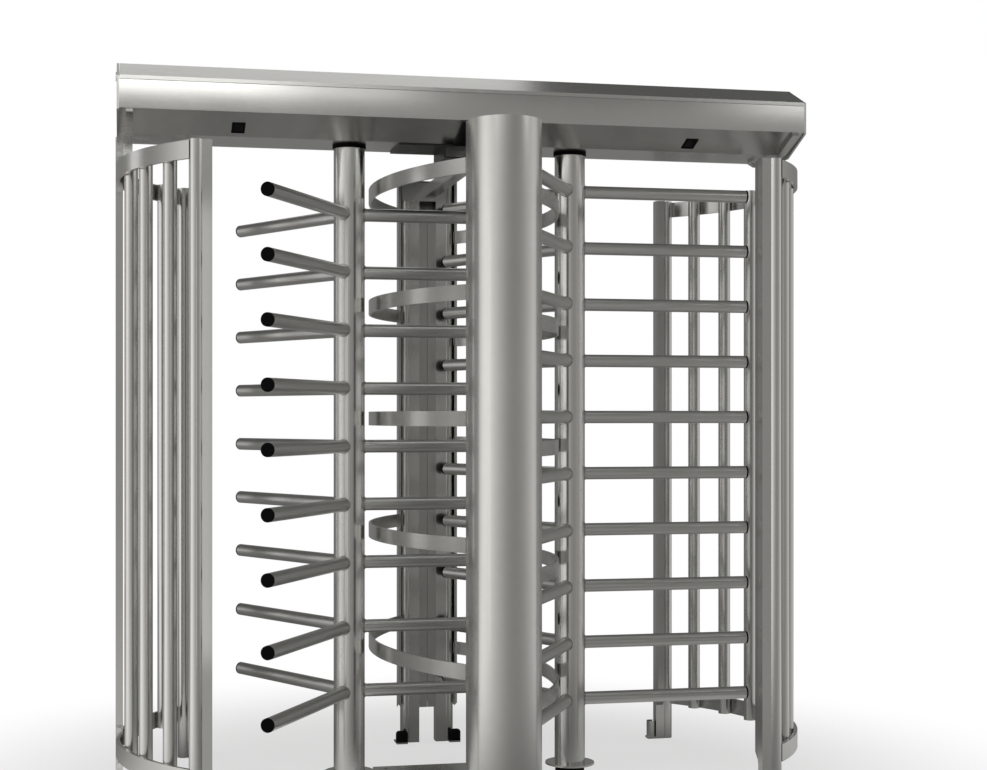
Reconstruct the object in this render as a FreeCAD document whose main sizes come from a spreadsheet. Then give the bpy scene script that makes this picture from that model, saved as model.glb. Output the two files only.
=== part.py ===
import FreeCAD, Part
import math
import os
from FreeCAD import Vector, Rotation, Placement

# Double full-height turnstile, millimetres, +Z up.
# Origin: on the floor, midway between the two rotor axes.
# X runs along the header, Y runs through the lanes, front is -Y.

os.makedirs("parts", exist_ok=True)
doc = FreeCAD.newDocument("turnstile")

# ---------------------------------------------------------------- dimensions
sheet = doc.addObject("Spreadsheet::Sheet", "dims")
values = [
    ("axis_x", 375.0),        # rotor axis to the middle of the object
    ("pole_rad", 51.0),       # rotor pole
    ("pole_wall", 3.0),
    ("pole_low", 39.0),
    ("pole_top", 2079.0),
    ("arm_rad", 21.2),        # rotor arm tube
    ("arm_wall", 2.0),
    ("arm_reach", 632.0),     # rotor axis to the tip of the arm cap
    ("cap_thick", 6.0),
    ("pitch", 190.0),         # height between arms
    ("pitch_low", 211.0),     # wider steps at the foot of the left rotor
    ("arm_top_right", 1961.0),
    ("arm_top_left", 1865.0),
    ("barrier_rad", 1024.6),  # outer radius of the barrier arcs
    ("barrier_axis", 725.6),  # their centres, from the middle plane
    ("barrier_thick", 8.0),
    ("barrier_tall", 46.0),
    ("barrier_top_left", 1945.0),
    ("barrier_step_left", 374.5),
    ("barrier_top_right", 1866.0),
    ("barrier_step_right", 380.0),
    ("pillar_y", 625.0),      # centre of the round pillars
    ("pillar_rad", 110.0),
    ("pillar_wall", 3.0),
    ("pillar_low", 128.0),
    ("pillar_top", 2072.0),
    ("leg_gap", 31.0),        # pillar legs, inner face from the middle plane
    ("leg_wide", 68.0),
    ("leg_deep", 42.0),
    ("leg_face", 600.0),      # inner face of the pillar legs
    ("leg_top", 2068.0),
    ("tube_wall", 3.0),
    ("cleg_lane", 848.0),     # cage legs, lane side
    ("cleg_x", 894.0),        # tube axis
    ("cleg_y", 512.0),
    ("cleg_near", 491.0),
    ("cleg_far", 525.0),
    ("cleg_top", 2008.0),
    ("stile_near", 466.0),
    ("stile_wide", 25.0),
    ("stile_low", 126.0),
    ("stile_top", 2005.0),
    ("band_rad", 751.0),
    ("band_thick", 12.0),
    ("band_tall", 54.0),
    ("band_top_z", 1951.0),
    ("band_low_z", 125.0),
    ("bar_ring", 717.0),
    ("bar_rad", 21.2),
    ("bar_wall", 2.0),
    ("bar_step", 11.5),
    ("bar_low", 127.0),
    ("bar_top", 2003.0),
    ("column_out", 1126.0),
    ("column_in", 1103.0),
    ("column_half", 25.0),
    ("soffit", 2091.0),       # header box
    ("soffit_half", 100.0),
    ("fascia_y", 237.0),
    ("fascia_low", 2145.0),
    ("fascia_top", 2240.0),
    ("roof_low", 2244.5),
    ("roof_z", 2309.5),
    ("roof_half", 98.0),
    ("sheet_thick", 3.0),
    ("lid_thick", 2.0),
    ("lid_lip", 2233.0),
    ("tray_half", 1115.0),
    ("end_half", 1122.0),
    ("lid_half", 1113.5),
    ("shaft_rad", 20.0),
    ("shaft_top", 2200.0),
    ("flange_rad", 82.5),
    ("flange_low", 33.0),
    ("hub_rad", 49.0),
    ("hub_top", 32.0),
    ("disc_rad", 100.0),
    ("disc_low", 2158.0),
    ("disc_thick", 12.0),
    ("beam_half", 21.0),
    ("beam_low", 2007.0),
    ("beam_top", 2047.0),
    ("plate_half", 269.0),
    ("plate_deep", 178.0),
    ("plate_thick", 10.0),
]
D = {}
for row, (alias, value) in enumerate(values, start=1):
    sheet.set("A%d" % row, alias)
    sheet.set("B%d" % row, repr(value))
    sheet.setAlias("B%d" % row, alias)
    D[alias] = value
doc.recompute()

nodes = []


def put(obj, prop, value):
    """Bind a property to an expression of sheet cells, or set a plain number."""
    if isinstance(value, str):
        for alias in sorted(D, key=len, reverse=True):
            value = _sub(value, alias)
        obj.setExpression(prop, value)
    elif "." in prop:
        base = obj.Placement.Base
        setattr(base, prop[-1], value)
        obj.Placement = Placement(base, obj.Placement.Rotation)
    else:
        setattr(obj, prop, value)


def _sub(text, alias):
    out, i = "", 0
    while i < len(text):
        if text.startswith(alias, i):
            before = text[i - 1] if i else " "
            after = text[i + len(alias)] if i + len(alias) < len(text) else " "
            if not (before.isalnum() or before in "._") and not (after.isalnum() or after == "_"):
                out += "dims." + alias
                i += len(alias)
                continue
        out += text[i]
        i += 1
    return out


def at(obj, x, y, z, rot=None):
    if rot is not None:
        obj.Placement = Placement(Vector(0, 0, 0), rot)
    put(obj, "Placement.Base.x", x)
    put(obj, "Placement.Base.y", y)
    put(obj, "Placement.Base.z", z)
    return obj


count = [0]


def fresh(kind):
    count[0] += 1
    return "%s%03d" % (kind, count[0])


def box(lx, ly, lz, x, y, z, rot=None):
    o = doc.addObject("Part::Box", fresh("box"))
    put(o, "Length", lx)
    put(o, "Width", ly)
    put(o, "Height", lz)
    return at(o, x, y, z, rot)


def cyl(r, tall, x, y, z, rot=None, angle=None):
    o = doc.addObject("Part::Cylinder", fresh("cyl"))
    put(o, "Radius", r)
    put(o, "Height", tall)
    if angle is not None:
        put(o, "Angle", angle)
    return at(o, x, y, z, rot)


def cone(r1, r2, tall, x, y, z, rot=None):
    o = doc.addObject("Part::Cone", fresh("cone"))
    put(o, "Radius1", r1)
    put(o, "Radius2", r2)
    put(o, "Height", tall)
    return at(o, x, y, z, rot)


def cut(a, b):
    o = doc.addObject("Part::Cut", fresh("cut"))
    o.Base = a
    o.Tool = b
    return o


def fuse(*items):
    items = list(items)
    if len(items) == 1:
        return items[0]
    o = doc.addObject("Part::MultiFuse", fresh("fuse"))
    o.Shapes = items
    return o


def group(items):
    o = doc.addObject("Part::Compound", fresh("group"))
    o.Links = list(items)
    return o


def fillet(base, radius, pick):
    """Round the edges of a base that pick(edge) accepts."""
    doc.recompute()
    o = doc.addObject("Part::Fillet", fresh("fillet"))
    o.Base = base
    o.Edges = [(i + 1, radius, radius) for i, e in enumerate(base.Shape.Edges) if pick(e)]
    return o


def upright(e):
    a, b = e.Vertexes[0].Point, e.Vertexes[-1].Point
    return abs(a.x - b.x) < 1e-6 and abs(a.y - b.y) < 1e-6 and abs(a.z - b.z) > 1.0


def node(label, obj):
    obj.Label = label
    nodes.append((label, obj))
    return obj


PLANES = {}


def plane(body, role):
    for f in body.Origin.OriginFeatures:
        if f.Role == role:
            return f
    raise RuntimeError(role)


def profile_body(name, role, points, length, start=None, mid=True, reverse=False):
    """A PartDesign body: closed polygon sketch, every corner bound to the sheet, padded."""
    body = doc.addObject("PartDesign::Body", name)
    sk = body.newObject("Sketcher::SketchObject", name + "Sketch")
    sk.AttachmentSupport = [(plane(body, role), "")]
    sk.MapMode = "FlatFace"
    import Sketcher
    num = []
    for (u, v) in points:
        num.append((evaluate(u), evaluate(v)))
    n = len(points)
    for i in range(n):
        a, b = num[i], num[(i + 1) % n]
        sk.addGeometry(Part.LineSegment(Vector(a[0], a[1], 0), Vector(b[0], b[1], 0)), False)
    for i in range(n):
        sk.addConstraint(Sketcher.Constraint("Coincident", i, 2, (i + 1) % n, 1))
    for i in range(n):
        for k, kind in ((0, "DistanceX"), (1, "DistanceY")):
            val = num[i][k]
            expr = points[i][k]
            if abs(val) < 1e-9:
                sk.addConstraint(Sketcher.Constraint("PointOnObject", i, 1, -2 if k == 0 else -1))
                continue
            if val > 0:
                idx = sk.addConstraint(Sketcher.Constraint(kind, -1, 1, i, 1, val))
                text = expr
            else:
                idx = sk.addConstraint(Sketcher.Constraint(kind, i, 1, -1, 1, -val))
                text = "-(%s)" % expr if isinstance(expr, str) else expr
            if isinstance(expr, str):
                for alias in sorted(D, key=len, reverse=True):
                    text = _sub(text, alias)
                sk.setExpression("Constraints[%d]" % idx, text)
    pad = body.newObject("PartDesign::Pad", name + "Pad")
    pad.Profile = sk
    put(pad, "Length", length)
    if mid:
        pad.Midplane = True
    if reverse:
        pad.Reversed = True
    body.Tip = pad
    return body


def evaluate(expr):
    if not isinstance(expr, str):
        return float(expr)
    total, sign, token = 0.0, 1.0, ""
    for ch in expr.replace(" ", "") + "+":
        if ch in "+-" :
            if token:
                total += sign * (D[token] if token in D else float(token))
                sign = 1.0
            token = ""
            if ch == "-":
                sign = -sign if not token and sign < 0 else -1.0
            else:
                sign = 1.0
        else:
            token += ch
    return total


RX = Rotation(Vector(0, 1, 0), 90)      # cylinder axis along +X
RXN = Rotation(Vector(0, 1, 0), -90)    # along -X
RY = Rotation(Vector(1, 0, 0), -90)     # along +Y
RYN = Rotation(Vector(1, 0, 0), 90)     # along -Y


def turned(angle):
    """Cylinder axis lying flat, pointing at the given plan angle."""
    return Rotation(Vector(0, 0, 1), angle).multiply(RX)


# ---------------------------------------------------------------- header
tray = profile_body("tray", "YZ_Plane", [
    ("-fascia_y", "fascia_top"), ("-fascia_y", "fascia_low"), ("-soffit_half", "soffit"),
    ("soffit_half", "soffit"), ("fascia_y", "fascia_low"), ("fascia_y", "fascia_top"),
    ("fascia_y-18", "fascia_top"), ("fascia_y-18", "fascia_top-3"),
    ("fascia_y-3", "fascia_top-3"), ("fascia_y-3", "fascia_low+2"), ("soffit_half-1", "soffit+3"),
    ("-soffit_half+1", "soffit+3"), ("-fascia_y+3", "fascia_low+2"), ("-fascia_y+3", "fascia_top-3"),
    ("-fascia_y+18", "fascia_top-3"), ("-fascia_y+18", "fascia_top"),
], "2*tray_half")
tray_tools = []
for sx in ("-axis_x", "axis_x"):
    tray_tools.append(cyl(30.0, 20.0, sx, 0.0, "soffit-8"))
# square windows for the lane indicators, cut square to the lower chamfer
slope = 21.513      # degrees of the lower chamfer from level
for sx in (-747.0, 747.0):
    for side in (-1, 1):
        rot = Rotation(Vector(1, 0, 0), side * slope)
        tool = box(34.0, 50.0, 30.0, 0.0, 0.0, 0.0)
        tool.Placement = Placement(Vector(sx, side * 150.0, 2110.7) + rot.multVec(Vector(-17.0, -25.0, -15.0)), rot)
        tray_tools.append(tool)
tray_cut = cut(tray, fuse(*tray_tools))
node("header_tray", tray_cut)

# end plates: full section of the box, 10 mm deeper below than the tray
END = [("-fascia_y", "fascia_top+3"), ("-fascia_y", "fascia_low-4"), ("-92", "soffit-11"),
       ("92", "soffit-11"), ("fascia_y", "fascia_low-4"), ("fascia_y", "fascia_top+3"),
       ("roof_half", "roof_z"), ("-roof_half", "roof_z")]
END = [(float(u) if u.lstrip("-").isdigit() else u, v) for u, v in END]
for name, sgn in (("left", -1), ("right", 1)):
    b = profile_body("end_" + name, "YZ_Plane", END, "end_half-tray_half", mid=False, reverse=(sgn < 0))
    put(b, "Placement.Base.x", "tray_half" if sgn > 0 else "-tray_half")
    # pocket for the side column under the box, and the hole of the lid lock
    notch = box(40.0, "2*column_half+1", 30.0, "column_in-0.5" if sgn > 0 else "-column_in-39.5",
                "-column_half-0.5", "soffit-30")
    lock_hole = cyl(11.0, 40.0, "tray_half-10" if sgn > 0 else "-tray_half-30", -150.0, 2256.0, RX)
    cable = cyl(16.0, 40.0, "tray_half-10" if sgn > 0 else "-tray_half-30", 120.0, 2200.0, RX)
    node("header_end_plate_" + name, cut(b, fuse(notch, lock_hole, cable)))

# carrier rails: two channels along the box, resting on the tray
rails = []
for side in (-1, 1):
    y0 = 60.0 if side > 0 else -95.0
    outer = box("2*tray_half-20", 35.0, 36.0, "-tray_half+10", y0, "soffit+3")
    inner = box("2*tray_half+10", 32.0, 30.0, "-tray_half-5", y0 + (3.0 if side < 0 else 0.0) , "soffit+6")
    rails.append(cut(outer, inner))
node("header_rails", group(rails))

# mechanism plates: carry the top bearing in a seat below, and the pawl pin above
plates = []
for sx, s in (("-axis_x", -1), ("axis_x", 1)):
    p = box(290.0, 190.0, 10.0, sx + "-145", -95.0, "soffit+39")
    seat = cyl(58.0, 26.0, sx, 0.0, "soffit+13")
    pin_x = sx + ("-109" if s < 0 else "+109")
    pin = cyl(5.0, 40.0, pin_x, 75.0, "soffit+39")
    foot = cyl(9.0, 14.0, pin_x, 75.0, "soffit+49")
    bore = cyl(40.0, 24.0, sx, 0.0, "soffit+11")
    through = cyl(24.0, 60.0, sx, 0.0, "soffit+11")
    plates.append(cut(fuse(p, seat, pin, foot), fuse(bore, through)))
node("mechanism_plates", group(plates))

bearings = []
for sx in ("-axis_x", "axis_x"):
    bearings.append(cut(cyl(40.0, 20.0, sx, 0.0, "soffit+15"), cyl("shaft_rad+0.05", 30.0, sx, 0.0, "soffit+10")))
node("top_bearings", group(bearings))

seals = []
for sx in ("-axis_x", "axis_x"):
    seals.append(cut(cyl(55.0, 9.5, sx, 0.0, "soffit-9.5"), cyl("shaft_rad+1", 30.0, sx, 0.0, "soffit-20")))
node("shaft_seals", group(seals))

# lane indicators: a square bezel in each window, with a lens set in it
bezels, lenses = [], []
for sx in (-747.0, 747.0):
    for side in (-1, 1):
        rot = Rotation(Vector(1, 0, 0), side * slope)
        mid = Vector(sx, side * 150.0, 2110.7)
        def tilted(o, w, dpt, up, low):
            c = rot.multVec(Vector(-w / 2.0, -dpt / 2.0, low))
            o.Placement = Placement(mid + c, rot)
            return o
        flange = tilted(box(42.0, 58.0, 2.0, 0.0, 0.0, 0.0), 42.0, 58.0, 2.0, -2.05)
        neck = tilted(box(33.6, 49.6, 12.05, 0.0, 0.0, 0.0), 33.6, 49.6, 12.0, -0.05)
        pocket = tilted(box(28.0, 44.0, 20.0, 0.0, 0.0, 0.0), 28.0, 44.0, 20.0, -3.0)
        bezels.append(cut(fuse(flange, neck), pocket))
        lenses.append(tilted(box(28.0, 44.0, 4.0, 0.0, 0.0, 0.0), 28.0, 44.0, 4.0, -1.0))
node("lane_indicator_bezels", group(bezels))
node("lane_indicator_lenses", group(lenses))

# control units stand on the rails between the two mechanisms
unit_a = cut(box(210.0, 150.0, 70.0, -200.0, -75.0, "soffit+39"), box(204.0, 144.0, 64.0, -197.0, -72.0, "soffit+42"))
unit_b = box(140.0, 110.0, 50.0, 40.0, -55.0, "soffit+39")
node("control_units", group([unit_a, unit_b]))

# roof lid: folded sheet with a lip over the front fascia, keepers for the locks inside
lid = profile_body("lid", "YZ_Plane", [
    ("-fascia_y-3", "lid_lip"), ("-fascia_y-3", "roof_low"), ("-roof_half", "roof_z"),
    ("roof_half", "roof_z"), ("fascia_y+1", "roof_low-0.5"), ("fascia_y+0.2", "roof_low-2.3"),
    ("roof_half-0.6", "roof_z-2"), ("-roof_half+0.6", "roof_z-2"), ("-fascia_y-1", "roof_low-1.4"),
    ("-fascia_y-1", "lid_lip"),
], "2*lid_half")
keepers = []
for s in (-1, 1):
    x0 = 1080.0 if s > 0 else -1096.0
    keepers.append(box(16.0, 3.0, 52.0, x0, -118.0, 2246.0))
    keepers.append(box(16.0, 25.0, 3.5, x0, -140.0, 2246.0))
node("roof_lid", fuse(lid, *keepers))

# lid hinges on the rear edge: knuckle line outside the rear fascia
HY, HZ = 246.0, 2243.0
fixed, moving, pins = [], [], []
for cx in (-800.0, 0.0, 800.0):
    leaf = box(100.0, 2.5, 34.0, cx - 50.0, "fascia_y", 2200.0)
    parts = [leaf]
    for k in (-50.0, 20.0):
        parts.append(cyl(5.0, 30.0, cx + k, HY, HZ, RX))
        parts.append(box(30.0, 3.5, 12.0, cx + k, "fascia_y", 2228.0))
        parts.append(box(30.0, 9.0, 3.0, cx + k, "fascia_y", 2237.0))
    fixed.append(cut(fuse(*parts), cyl(2.5, 140.0, cx - 70.0, HY, HZ, RX)))
    tri = doc.addObject("Part::Feature", fresh("leaf"))
    pts = [(200.0, 2261.85), (201.1, 2264.4), (246.0, 2248.0), (246.0, 2243.5), (238.3, 2244.1)]
    wire = Part.makePolygon([Vector(0, y, z) for y, z in pts] + [Vector(0, pts[0][0], pts[0][1])])
    tri.Shape = Part.Face(wire).extrude(Vector(38.0, 0, 0))
    tri.Placement = Placement(Vector(cx - 19.0, 0, 0), Rotation())
    knuckle = cyl(5.0, 38.0, cx - 19.0, HY, HZ, RX)
    moving.append(cut(fuse(tri, knuckle), cyl(2.56, 140.0, cx - 70.0, HY, HZ, RX)))
    pins.append(cyl(2.5, 104.0, cx - 52.0, HY, HZ, RX))
node("lid_hinge_leaves_fixed", group(fixed))
node("lid_hinge_leaves_moving", group(moving))
node("lid_hinge_pins", group(pins))

# quarter-turn lid locks in the end plates
for name, s in (("left", -1), ("right", 1)):
    head = cyl(14.0, 3.0, "end_half" if s > 0 else "-end_half-3", -150.0, 2256.0, RX)
    barrel = cyl(10.95, 27.0, "end_half-27" if s > 0 else "-end_half", -150.0, 2256.0, RX)
    slot = box(6.0, 3.0, 16.0, "end_half+1.5" if s > 0 else "-end_half-7.5", -151.5, 2248.0)
    cam = box(4.0, 10.0, 27.0, "end_half-31" if s > 0 else "-end_half+27", -155.0, 2251.0)
    node("lid_lock_" + name, cut(fuse(head, barrel, cam), slot))

# solenoids beside the pawls, dampers beside the shafts
sol, damp = [], []
for sx, s in (("-axis_x", -1), ("axis_x", 1)):
    x0 = sx + ("-140" if s < 0 else "+112")
    sol.append(fuse(box(28.0, 40.0, 26.0, x0, -90.0, "soffit+49"),
                    cyl(4.0, 14.0, sx + ("-126" if s < 0 else "+126"), -50.0, "soffit+62", RY)))
    base = box(60.0, 36.0, 30.0, sx + "-30", -94.0, "soffit+39.0")
    damp.append(box(20.0, 20.0, 12.0, sx + ("+118" if s < 0 else "-138"), -90.0, "soffit+49"))
    damp[-1] = fuse(damp[-1], cyl(9.0, 120.0, sx + ("+128" if s < 0 else "-128"), -70.0, "soffit+60", RY))
    doc.removeObject(base.Name)
node("solenoids", group(sol))
node("hydraulic_dampers", group(damp))

# lock pawls: a lever outside the notched disc, its tooth points at the shaft.
# Drawn engaged, then swung 10 degrees clear about its pin.
for name, s in (("left", -1), ("right", 1)):
    X = D["axis_x"] * s
    px, py = X + s * 109.0, 75.0
    lever = box(14.0, 83.0, 8.0, X + (102.0 if s > 0 else -116.0), -8.0, "disc_low+2")
    tooth = box(13.0, 8.0, 8.0, X + (90.0 if s > 0 else -103.0), -4.0, "disc_low+2")
    eye = cyl(9.5, 8.0, px, py, "disc_low+2")
    hole = cyl(5.05, 40.0, px, py, "disc_low-10")
    pawl = cut(fuse(lever, tooth, eye), hole)
    swing = Rotation(Vector(0, 0, 1), 10.0 * s)
    pin = Vector(px, py, 0)
    pawl.Placement = Placement(pin - swing.multVec(pin), swing)
    node("lock_pawl_" + name, pawl)

# ---------------------------------------------------------------- rotors
ANG = (0.0, 120.0, 240.0)
for name, s in (("left", -1), ("right", 1)):
    ax = "-axis_x" if s < 0 else "axis_x"
    if s > 0:
        levels = ["arm_top_right-%d*pitch" % i for i in range(10)]
    else:
        levels = ["arm_top_left-%d*pitch" % i for i in range(7)]
        levels += ["arm_top_left-6*pitch-%d*pitch_low" % i for i in (1, 2)]
    pole = cut(cyl("pole_rad", "pole_top-pole_low", ax, 0.0, "pole_low"),
               cyl("pole_rad-pole_wall", "pole_top-pole_low+20", ax, 0.0, "pole_low-10"))
    node("rotor_%s_pole" % name, pole)
    arms, caps = [], []
    for a in ANG:
        for z in levels:
            outer = cyl("arm_rad", "arm_reach-cap_thick", ax, 0.0, z, turned(a))
            inner = cyl("arm_rad-arm_wall", "arm_reach+20", ax, 0.0, z, turned(a))
            arms.append((outer, inner))
            disc = cyl("arm_rad", "cap_thick", "%s+(arm_reach-cap_thick)*cos(%g deg)" % (ax, a),
                       "(arm_reach-cap_thick)*sin(%g deg)" % a, z, turned(a))
            plug = cyl("arm_rad-arm_wall", 20.0, "%s+(arm_reach-cap_thick-20)*cos(%g deg)" % (ax, a),
                       "(arm_reach-cap_thick-20)*sin(%g deg)" % a, z, turned(a))
            caps.append(fuse(disc, plug))
    outer_all = group([o for o, i in arms])
    inner_all = group([i for o, i in arms])
    core = cyl("pole_rad", 2200.0, ax, 0.0, 0.0)
    pieces = []
    for o, i in arms:
        pieces.append(cut(cut(o, i), core))
    doc.removeObject(outer_all.Name)
    doc.removeObject(inner_all.Name)
    node("rotor_%s_arms" % name, group(pieces))
    node("rotor_%s_arm_caps" % name, group(caps))
    # base flange with its short pivot, which turns in the base bearing
    flange = fuse(cyl("flange_rad", "pole_low-flange_low", ax, 0.0, "flange_low"),
                  cyl("pole_rad-pole_wall", 20.0, ax, 0.0, "pole_low"),
                  cyl("shaft_rad", "flange_low-6.6", ax, 0.0, 6.6))
    node("rotor_%s_base_flange" % name, flange)
    # top shaft with its plug in the pole
    shaft = fuse(cyl("pole_rad-pole_wall", 24.0, ax, 0.0, "pole_top-24"),
                 cyl("shaft_rad", "shaft_top-pole_top", ax, 0.0, "pole_top"))
    node("rotor_%s_top_shaft" % name, shaft)
    # lock disc: twelve notches, one each 30 degrees
    disc = fuse(cyl("disc_rad", "disc_thick", ax, 0.0, "disc_low"), cyl(32.0, 14.0, ax, 0.0, "disc_low+disc_thick"))
    notches = []
    for k in range(12):
        b = box(30.0, 14.0, 40.0, 0.0, 0.0, 0.0)
        r = Rotation(Vector(0, 0, 1), 30.0 * k)
        c = r.multVec(Vector(88.5, -7.0, 0))
        b.Placement = Placement(Vector(D["axis_x"] * s + c.x, c.y, D["disc_low"] - 10.0), r)
        notches.append(b)
    notches.append(cyl("shaft_rad", 80.0, ax, 0.0, "disc_low-20"))
    node("rotor_%s_lock_disc" % name, cut(disc, fuse(*notches)))

# base hubs and bearings under the poles
hubs, lows = [], []
for sx in ("-axis_x", "axis_x"):
    hubs.append(cut(cyl("hub_rad", "hub_top", sx, 0.0, 0.0), cyl(34.0, 60.0, sx, 0.0, 6.0)))
    lows.append(cut(cyl(34.0, 20.0, sx, 0.0, 6.0), cyl("shaft_rad+0.05", 60.0, sx, 0.0, 0.0)))
# the pivot ends 0.5 mm above the hub floor
node("base_hubs", group(hubs))
node("base_bearings", group(lows))

# ---------------------------------------------------------------- barriers
for name, s, top, step in (("left", -1, "barrier_top_left", "barrier_step_left"),
                           ("right", 1, "barrier_top_right", "barrier_step_right")):
    cx = "barrier_axis" if s < 0 else "-barrier_axis"
    arcs = []
    for i in range(5):
        z = "%s-%d*%s-barrier_tall/2" % (top, i, step)
        start = 180.0 - 50.0 if s < 0 else -50.0
        sector = cyl("barrier_rad", "barrier_tall", cx, 0.0, z, Rotation(Vector(0, 0, 1), start), 100.0)
        ring = cut(sector, cyl("barrier_rad-barrier_thick", 4000.0, cx, 0.0, -500.0))
        # the ends stop on the return flanges of the pillars
        arcs.append(cut(ring, fuse(box(2000.0, 800.0, 4000.0, -1000.0, "leg_face-6", -500.0),
                                   box(2000.0, 800.0, 4000.0, -1000.0, "-leg_face+6-800", -500.0))))
    node("barrier_" + name, group(arcs))

# ---------------------------------------------------------------- pillars
def leg_section(tube_x, tube_y, x, y, wide, deep, low, top):
    """Closed-top leg: a round tube with a flat box edge, drawn as one hollow section."""
    outer = fuse(cyl("bar_rad", "%s-(%s)" % (top, low), tube_x, tube_y, low),
                 box(wide, deep, "%s-(%s)" % (top, low), x, y, low))
    w = "tube_wall"
    inner = fuse(cyl("bar_rad-%s" % w, "%s-(%s)" % (top, low), tube_x, tube_y, "%s-%s" % (low, w)),
                 box("%s-2*%s" % (wide, w), "%s-2*%s" % (deep, w), "%s-(%s)" % (top, low),
                     "%s+%s" % (x, w), "%s+%s" % (y, w), "%s-%s" % (low, w)))
    return cut(outer, inner)


for name, s in (("front", -1), ("rear", 1)):
    cy = "pillar_y" if s > 0 else "-pillar_y"
    full = cyl("pillar_rad", "pillar_top-pillar_low", 0.0, cy, "pillar_low")
    skirt = box("2*pillar_rad", "pillar_y-leg_face+6", "pillar_top-pillar_low", "-pillar_rad",
                "leg_face-6" if s > 0 else "-pillar_y", "pillar_low")
    keep = box(400.0, 400.0, 4000.0, -200.0, "leg_face-6" if s > 0 else "-leg_face-394", -500.0)
    outside = doc.addObject("Part::MultiCommon", fresh("common"))
    outside.Shapes = [fuse(full, skirt), keep]
    hollow = fuse(cyl("pillar_rad-pillar_wall", "pillar_top-pillar_low", 0.0, cy, "pillar_low-pillar_wall"),
                  box("2*(pillar_rad-pillar_wall)", 200.0, "pillar_top-pillar_low",
                      "-(pillar_rad-pillar_wall)", "pillar_y-200" if s > 0 else "-pillar_y",
                      "pillar_low-pillar_wall"))
    # narrow return flanges beside the legs, their lower corners slanted
    returns, snips = [], []
    for side in (-1, 1):
        returns.append(box("pillar_rad-leg_gap-leg_wide-1", 3.0, "pillar_top-pillar_low",
                           "leg_gap+leg_wide+1" if side > 0 else "-pillar_rad",
                           "leg_face-6" if s > 0 else "-leg_face+3", "pillar_low"))
        w = box(26.0, 60.0, 26.0, 0.0, 0.0, 0.0)
        tilt = Rotation(Vector(0, 1, 0), 45.0)
        centre = Vector(side * (D["pillar_rad"] + 2.0), s * D["leg_face"], D["pillar_low"] - 2.0)
        w.Placement = Placement(centre - tilt.multVec(Vector(13.0, 30.0, 13.0)), tilt)
        snips.append(w)
    shell = cut(fuse(cut(outside, hollow), *returns), fuse(*snips))
    node("pillar_shell_" + name, shell)
    legs = []
    for side in (-1, 1):
        tx = "leg_gap+leg_wide-bar_rad" if side > 0 else "-leg_gap-leg_wide+bar_rad"
        ty = "leg_face+bar_rad" if s > 0 else "-leg_face-bar_rad"
        x = "leg_gap" if side > 0 else "-leg_gap-38"
        y = "leg_face" if s > 0 else "-leg_face-leg_deep"
        legs.append(leg_section(tx, ty, x, y, "38", "leg_deep", "0", "leg_top"))
    node("pillar_legs_" + name, group(legs))

# closing strips between the legs of each pillar, in two halves
strips = []
for s in (-1, 1):
    for side in (-1, 1):
        strips.append(box("leg_gap-0.6", 4.0, "1965-pillar_low", 0.6 if side > 0 else "-leg_gap",
                          "leg_face+6" if s > 0 else "-leg_face-10", "pillar_low"))
node("pillar_inner_panels", group(strips))

# tie beam between the pillars, with end flanges on the legs
beam = cut(box("2*beam_half", "2*leg_face-20", "beam_top-beam_low", "-beam_half", "-leg_face+10", "beam_low"),
           box("2*beam_half-8", "2*leg_face+40", "beam_top-beam_low-8", "-beam_half+4", "-leg_face-20", "beam_low+4"))
ends = [box(128.0, 10.0, 68.0, -98.0, "leg_face-10", "beam_low-10"),
        box(128.0, 10.0, 68.0, -30.0, "-leg_face", "beam_low-10")]
node("tie_beam", fuse(beam, *ends))
saddle = fuse(cut(box(150.0, 180.0, "soffit-beam_top-4", -75.0, -90.0, "beam_top"),
                  box(138.0, 200.0, "soffit-beam_top-12", -69.0, -100.0, "beam_top+6")),
              box(448.0, 184.0, 6.0, -224.0, -92.0, "soffit-6"))
straps = []
rise = math.degrees(math.atan2(D["fascia_low"] - D["soffit"], D["fascia_y"] - D["soffit_half"]))
run = math.hypot(D["fascia_low"] - D["soffit"], D["fascia_y"] - D["soffit_half"])
for f in (-1, 1):
    # strap that follows the lower slope of the header
    r = Rotation(Vector(1, 0, 0), f * rise)
    strap = doc.addObject("Part::Box", fresh("box"))
    strap.Length, strap.Width, strap.Height = 90.0, run - 2.0, 6.0
    corner = Vector(-45.0, f * D["soffit_half"], D["soffit"])
    y0 = 0.0 if f > 0 else -(run - 2.0)
    strap.Placement = Placement(corner + r.multVec(Vector(0.0, y0, -6.0)), r)
    straps.append(strap)
    straps.append(box(90.0, 14.0, 6.0, -45.0, 88.0 if f > 0 else -102.0, "soffit-6"))
node("header_saddle", fuse(saddle, *straps))

# ---------------------------------------------------------------- cages
for name, s in (("left", -1), ("right", 1)):
    legs = []
    for f in (-1, 1):
        x = "cleg_lane" if s > 0 else "-cleg_lane-32"
        y = "cleg_near" if f > 0 else "-cleg_far"
        legs.append(leg_section("cleg_x" if s > 0 else "-cleg_x", "cleg_y" if f > 0 else "-cleg_y",
                                x, y, "32", "(cleg_far-cleg_near)", "0", "cleg_top"))
    node("cage_%s_legs" % name, group(legs))

stiles = []
for s in (-1, 1):
    for f in (-1, 1):
        x = "cleg_lane" if s > 0 else "-cleg_lane-stile_wide"
        y = "stile_near" if f > 0 else "-cleg_near"
        b = box("stile_wide", "cleg_near-stile_near", "stile_top-stile_low", x, y, "stile_low")
        # slanted lower end
        t = box(80.0, 60.0, 60.0, 0.0, 0.0, 0.0)
        r = Rotation(Vector(1, 0, 0), 45.0)
        half = r.multVec(Vector(40.0, 30.0, 30.0))
        c = Vector(s * (D["cleg_lane"] + 12.0), f * (D["stile_near"] - 10.0), D["stile_low"] - 10.0)
        t.Placement = Placement(c - half, r)
        stiles.append(cut(b, t))
node("cage_end_stiles", group(stiles))

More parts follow.
